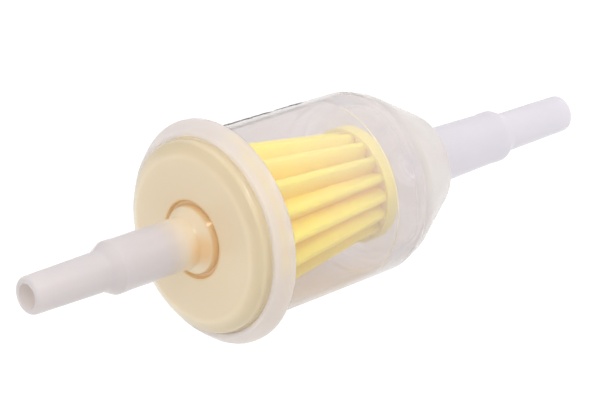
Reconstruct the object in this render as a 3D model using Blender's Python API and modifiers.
"""In-line fuel filter for 6 mm and 8 mm hose.

A clear housing and a welded cap, each with a two-step hose nipple, hold a conical paper element whose
pleats run from a collar at the inlet end to a blind disc at the outlet end.
Fuel enters through the cap into the inside of the cone, passes out through the paper, flows past the
blind disc and leaves through the housing's nipple.

The frame: +X is the direction of flow, +Z is up, and the origin is the middle of the axis.
Axial sizes are measured from the flange's front plane, positive towards the outlet.
"""

import math

import bmesh
import bpy

MM = 0.001

# ---- Driving dimensions, in millimetres ----
INLET_REACH = 35.0  # flange plane to the inlet nipple's tip
OUTLET_REACH = 79.6  # flange plane to the outlet nipple's tip
FLANGE_R = 18.0
BODY_R = 15.4  # outside, behind the flange
BODY_END_R = 14.85  # outside, where the shoulder begins
BODY_END = 33.2
SHOULDER_END_R = 8.2
WALL = 1.45
TIP_R = 3.0  # 6 mm hose seat at its tip
TIP_ROOT_R = 3.2
STEP_R = 4.25  # 8 mm hose seat at its barb
STEM_R = 4.18  # 8 mm hose seat behind the barb
TIP_SEAT = 14.0  # length of the 6 mm hose seat
BARB_RAMP = 2.1  # length of the slope between the two seats
BARB_LAND = 1.3  # length of the barb's crest
BORE_R = 2.0  # at each tip
BORE_ROOT_R = 2.8  # where each bore meets its chamber
FIT_GAP = 0.3  # clear space between neighbouring pieces
PLEATS = 16
PAPER_WIDE_R = 12.5
PAPER_NARROW_R = 8.5
PLEAT_DEPTH = 3.3
PAPER_THICK = 0.45

# ---- Places along the axis that pieces share ----
CAP_RIM_END = 0.7
COLLAR_FRONT = CAP_RIM_END + FIT_GAP
COLLAR_THICK = 0.6
SEAT = COLLAR_FRONT + COLLAR_THICK + FIT_GAP
CHANNEL_DEPTH = 2.4
GLUE_THICK = 0.9
PAPER_FRONT = COLLAR_FRONT + COLLAR_THICK + GLUE_THICK + 2 * FIT_GAP
PAPER_BACK = 31.2
COLLAR_HOLE_R = PAPER_WIDE_R - PLEAT_DEPTH - 2.1
DISC_THICK = 0.6
DISC_R = 9.3
CUP_DEPTH = 1.9
LIP = 0.5
END_GLUE_THICK = 0.4
DISC_FRONT = PAPER_BACK + END_GLUE_THICK + 2 * FIT_GAP

CAP_RIM_R = 15.6
CAP_SIDE_R = CAP_RIM_R - 0.15
RECESS_R = CAP_RIM_R + FIT_GAP
CAP_FACE = -2.4  # the cap's flat front face
CAP_WALL = 1.5
GROOVE_R = 5.6  # the shallow groove round the boss, at its floor
GROOVE_DEPTH = 0.5
SHOULDER_END = 45.7
BORE_STEP = 28.3  # the body's bore narrows here

CENTRE = (OUTLET_REACH - INLET_REACH) / 2  # flange plane to the origin
TURN_STEPS = 64
FOLD_POINTS = 5  # points across each fold's bend
PLEAT_PHASE = math.radians(155.4)  # angle of one ridge about +X, from +Y towards +Z
RIDGE_BEND = 0.13  # each fold's bend radius, as a share of the pleats' pitch
VALLEY_BEND = 0.1
BEND_TURN = 0.7  # each fold's bend, as a share of a half turn
FLAP = 1.4  # how far the sheet's end flaps reach inwards at the seam
FLAP_SPREAD = 0.75  # from the seam's middle to each flap
MERGE = 1e-5


def clear_scene():
    for obj in list(bpy.data.objects):
        bpy.data.objects.remove(obj)


def plastic(name, colour, roughness, alpha=1.0):
    """A Principled material in one plain colour."""
    material = bpy.data.materials.new(name)
    material.use_nodes = True
    shader = material.node_tree.nodes["Principled BSDF"]
    shader.inputs["Base Color"].default_value = (*colour, 1.0)
    shader.inputs["Roughness"].default_value = roughness
    shader.inputs["Metallic"].default_value = 0.0
    shader.inputs["Alpha"].default_value = alpha
    return material


def rounded(corners, arc_steps=4):
    """The outline through corners (x, r, fillet), with each fillet drawn as an arc."""
    outline = []
    count = len(corners)
    for i, (x, r, fillet) in enumerate(corners):
        if fillet == 0:
            outline.append((x, r))
            continue
        before = corners[i - 1]
        after = corners[(i + 1) % count]
        to_before = math.atan2(before[1] - r, before[0] - x)
        to_after = math.atan2(after[1] - r, after[0] - x)
        opening = (to_after - to_before + math.pi) % (2 * math.pi) - math.pi
        half = abs(opening) / 2
        middle = to_before + opening / 2
        reach = fillet / math.sin(half)
        centre_x = x + reach * math.cos(middle)
        centre_r = r + reach * math.sin(middle)
        sweep = math.pi - 2 * half
        direction = 1 if opening > 0 else -1
        for step in range(arc_steps + 1):
            share = step / arc_steps - 0.5
            angle = middle + math.pi - direction * sweep * share
            outline.append((centre_x + fillet * math.cos(angle), centre_r + fillet * math.sin(angle)))
    return outline


def clockwise(outline):
    """The outline ordered so that its outer side runs from +X to -X along the turning axis."""
    area = sum(
        a[1] * b[0] - b[1] * a[0] for a, b in zip(outline, outline[1:] + outline[:1], strict=True)
    )
    return outline if area < 0 else outline[::-1]


def turned(name, outline, material, closed=True):
    """A piece turned about the X axis from an outline of (distance behind the flange plane, radius)."""
    path = clockwise(outline)
    if not closed:
        on_axis = [i for i, (_, r) in enumerate(path) if r == 0]
        start = next(i for i in on_axis if (i - 1) % len(path) in on_axis)
        path = path[start:] + path[:start]
    mesh = bpy.data.meshes.new(name)
    bm = bmesh.new()
    verts = [bm.verts.new((r * MM, 0, (x - CENTRE) * MM)) for x, r in path]
    for a, b in zip(verts, verts[1:], strict=False):
        bm.edges.new((a, b))
    if closed:
        bm.edges.new((verts[-1], verts[0]))
    bm.to_mesh(mesh)
    bm.free()
    obj = bpy.data.objects.new(name, mesh)
    part.objects.link(obj)
    obj.rotation_euler = (0, math.pi / 2, 0)  # the screw's Z becomes the row's X
    screw = obj.modifiers.new("turn", "SCREW")
    screw.axis = "Z"
    screw.steps = TURN_STEPS
    screw.render_steps = TURN_STEPS
    screw.use_merge_vertices = True
    screw.merge_threshold = MERGE
    mesh.materials.append(material)
    return obj


def nipple(tip, direction, root):
    """Corners of a two-step hose nipple's outside, from its tip towards the body, ending at root."""
    return [
        (tip, TIP_R, 0.7),
        (tip + direction * TIP_SEAT, TIP_ROOT_R, 1.5),
        (tip + direction * (TIP_SEAT + BARB_RAMP), STEP_R, 0.3),
        (tip + direction * (TIP_SEAT + BARB_RAMP + BARB_LAND), STEP_R, 0),
        (tip + direction * (TIP_SEAT + BARB_RAMP + BARB_LAND + 1.0), STEM_R, 0),
        root,
    ]


def build_cap():
    """The inlet cover: nipple, boss, grooved face, domed edge and the rim that is welded into the flange."""
    outside = nipple(-INLET_REACH, 1, (CAP_FACE - 2.0, STEM_R, 0.8)) + [
        (CAP_FACE - GROOVE_DEPTH, GROOVE_R - 0.25, 0.25),
        (CAP_FACE + GROOVE_DEPTH, GROOVE_R, 0),
        (CAP_FACE + GROOVE_DEPTH, GROOVE_R + 0.4, 0),
        (CAP_FACE, GROOVE_R + 0.75, 0),
        (CAP_FACE, CAP_RIM_R - 2.4, 2.5),
        (CAP_FACE + 1.2, CAP_SIDE_R, 0.8),
        (0.0, CAP_SIDE_R, 0),
        (0.2, CAP_RIM_R, 0),
        (CAP_RIM_END, CAP_RIM_R, 0),
    ]
    inside = [
        (CAP_RIM_END, CAP_RIM_R - CAP_WALL, 0),
        (CAP_FACE + CAP_WALL + 0.4, CAP_RIM_R - CAP_WALL, 0),
        (CAP_FACE + CAP_WALL, CAP_RIM_R - CAP_WALL - 0.8, 0),
        (CAP_FACE + CAP_WALL, BORE_ROOT_R + 0.4, 0.3),
        (CAP_FACE - 0.6, BORE_ROOT_R, 0),
        (-INLET_REACH, BORE_R, 0),
    ]
    return turned("cap", rounded(outside + inside), natural)


def build_housing():
    """The clear body: welded flange, stepped bore, sloping shoulder and outlet nipple in one moulding."""
    flange_back = SEAT + 1.2
    outlet = nipple(OUTLET_REACH, -1, (SHOULDER_END, STEP_R + 0.4, 0.5))[::-1]
    outside = [
        (0.0, RECESS_R, 0),
        (0.0, FLANGE_R - 1.4, 0.4),
        (2.0, FLANGE_R, 0.8),
        (flange_back, FLANGE_R, 0.5),
        (flange_back, BODY_R, 0.4),
        (BODY_END, BODY_END_R, 2.5),
        (BODY_END + 3.0, BODY_END_R - 1.05, 2.5),
        (SHOULDER_END, SHOULDER_END_R, 0.5),
    ] + outlet
    inner_end = SHOULDER_END - 1.7
    inside = [
        (OUTLET_REACH, BORE_R, 0),
        (inner_end + 0.8, BORE_ROOT_R, 0),
        (inner_end, BORE_ROOT_R + 0.8, 0),
        (inner_end, SHOULDER_END_R - 1.3, 0.8),
        (BODY_END + 2.0, BODY_END_R - WALL - 0.9, 2.0),
        (BORE_STEP + 0.3, BODY_END_R - WALL, 0),
        (BORE_STEP, BODY_END_R - WALL + 0.4, 0),
        (SEAT, BODY_R - WALL, 0),
        (SEAT, RECESS_R, 0),
    ]
    return turned("housing", rounded(outside + inside), clear)


def build_collar():
    """The ring clamped between cap and housing, with a channel on its back that the paper is potted in."""
    back = COLLAR_FRONT + COLLAR_THICK
    lip_end = back + CHANNEL_DEPTH
    hole = COLLAR_HOLE_R
    lip_r = PAPER_WIDE_R + 0.6
    outline = [
        (COLLAR_FRONT, hole),
        (COLLAR_FRONT, CAP_RIM_R),
        (back, CAP_RIM_R),
        (back, lip_r + LIP),
        (lip_end, lip_r + LIP),
        (lip_end, lip_r),
        (back, lip_r),
        (back, hole + LIP),
        (lip_end, hole + LIP),
        (lip_end, hole),
    ]
    return turned("element_collar", outline, natural)


def build_collar_adhesive():
    """The layer of adhesive in the collar's channel, under the paper's wide end."""
    back = COLLAR_FRONT + COLLAR_THICK + FIT_GAP
    low = COLLAR_HOLE_R + LIP + FIT_GAP
    high = PAPER_WIDE_R + 0.6 - FIT_GAP
    outline = [(back, low), (back, high), (back + GLUE_THICK, high), (back + GLUE_THICK, low)]
    return turned("collar_adhesive", outline, adhesive)


def build_end_disc():
    """The blind disc that closes the cone's narrow end, a shallow cup round the pleats' tips."""
    outline = [
        (DISC_FRONT, 0),
        (DISC_FRONT, DISC_R - LIP),
        (DISC_FRONT - CUP_DEPTH, DISC_R - LIP),
        (DISC_FRONT - CUP_DEPTH, DISC_R),
        (DISC_FRONT + DISC_THICK - 0.3, DISC_R),
        (DISC_FRONT + DISC_THICK, DISC_R - 0.3),
        (DISC_FRONT + DISC_THICK, 0),
    ]
    return turned("end_disc", outline, natural, closed=False)


def build_end_adhesive():
    """The adhesive poured into the end disc, which seals the pleats' narrow end."""
    front = PAPER_BACK + FIT_GAP
    back = front + END_GLUE_THICK
    high = DISC_R - LIP - FIT_GAP
    outline = [(front, 0), (front, high), (back, high), (back, 0)]
    return turned("end_disc_adhesive", outline, adhesive, closed=False)


def pleat_line(outer, inner):
    """The folded sheet's middle line at one end, as (y, z) in mm.

    It is open at the seam, where the sheet's two end flaps run inwards side by side.
    """
    pitch = 2 * math.pi / PLEATS
    seam = PLEAT_PHASE + math.pi + pitch / 2
    flap = FLAP_SPREAD / inner
    line = [(inner - FLAP, seam + flap), (inner, seam + flap)]
    for fold in range(1, 2 * PLEATS):
        ridge = fold % 2 == 1
        radius = outer if ridge else inner
        bend_r = (RIDGE_BEND if ridge else VALLEY_BEND) * pitch * radius
        angle = seam + fold * pitch / 2
        side = 1 if ridge else -1
        for point in range(FOLD_POINTS):
            turn = math.pi * (point / (FOLD_POINTS - 1) - 0.5) * BEND_TURN
            across = bend_r * math.sin(turn)
            line.append((radius - side * bend_r * (1 - math.cos(turn)), angle + across / radius))
    line += [(inner, seam - flap), (inner - FLAP, seam - flap)]
    return [(r * math.cos(a), r * math.sin(a)) for r, a in line]


def build_paper():
    """The pleated cone: one folded sheet lofted between its wide and its narrow outline, then thickened."""
    half = PAPER_THICK / 2
    rings = [
        (PAPER_FRONT, PAPER_WIDE_R - half, PAPER_WIDE_R - PLEAT_DEPTH + half),
        (PAPER_BACK, PAPER_NARROW_R - half, PAPER_NARROW_R - PLEAT_DEPTH + half),
    ]
    mesh = bpy.data.meshes.new("paper_element")
    bm = bmesh.new()
    rows = []
    for x, outer, inner in rings:
        row = [bm.verts.new(((x - CENTRE) * MM, y * MM, z * MM)) for y, z in pleat_line(outer, inner)]
        rows.append(row)
    for i in range(len(rows[0]) - 1):
        bm.faces.new((rows[0][i], rows[0][i + 1], rows[1][i + 1], rows[1][i]))
    bmesh.ops.recalc_face_normals(bm, faces=bm.faces)
    bm.to_mesh(mesh)
    bm.free()
    obj = bpy.data.objects.new("paper_element", mesh)
    part.objects.link(obj)
    solidify = obj.modifiers.new("thickness", "SOLIDIFY")
    solidify.thickness = PAPER_THICK * MM
    solidify.offset = 0
    mesh.materials.append(paper)
    return obj


def build_seam():
    """The strip of adhesive that joins the sheet's two end flaps, as long as the paper."""
    angle = PLEAT_PHASE + math.pi + math.pi / PLEATS
    half = PAPER_THICK / 2
    wide = PAPER_WIDE_R - PLEAT_DEPTH + half
    narrow = PAPER_NARROW_R - PLEAT_DEPTH + half
    strip_half = 0.12
    depth = 1.2
    inset = 1.0  # the strip's middle, inwards of the valleys
    bm = bmesh.new()
    bmesh.ops.create_cube(bm, size=1.0)
    for vert in bm.verts:
        back = vert.co.x > 0
        x = (PAPER_BACK if back else PAPER_FRONT) - CENTRE
        middle = (narrow if back else wide) - inset
        radial = middle + vert.co.y * depth
        across = 2 * vert.co.z * strip_half
        vert.co.x = x * MM
        vert.co.y = (radial * math.cos(angle) - across * math.sin(angle)) * MM
        vert.co.z = (radial * math.sin(angle) + across * math.cos(angle)) * MM
    mesh = bpy.data.meshes.new("seam_adhesive")
    bmesh.ops.recalc_face_normals(bm, faces=bm.faces)
    bm.to_mesh(mesh)
    bm.free()
    mesh.materials.append(adhesive)
    obj = bpy.data.objects.new("seam_adhesive", mesh)
    part.objects.link(obj)
    return obj


clear_scene()
part = bpy.data.collections.new("fuel_filter")
bpy.context.scene.collection.children.link(part)
clear = plastic("clear_plastic", (0.86, 0.84, 0.88), 0.18, 0.4)
natural = plastic("natural_plastic", (0.88, 0.83, 0.72), 0.25, 0.7)
paper = plastic("filter_paper", (0.95, 0.80, 0.30), 0.9)
adhesive = plastic("adhesive", (0.93, 0.86, 0.55), 0.4)

build_cap()
build_housing()
build_collar()
build_collar_adhesive()
build_paper()
build_seam()
build_end_adhesive()
build_end_disc()

for piece in part.objects:
    piece.data.shade_smooth()
    piece.data.set_sharp_from_angle(angle=math.radians(35))
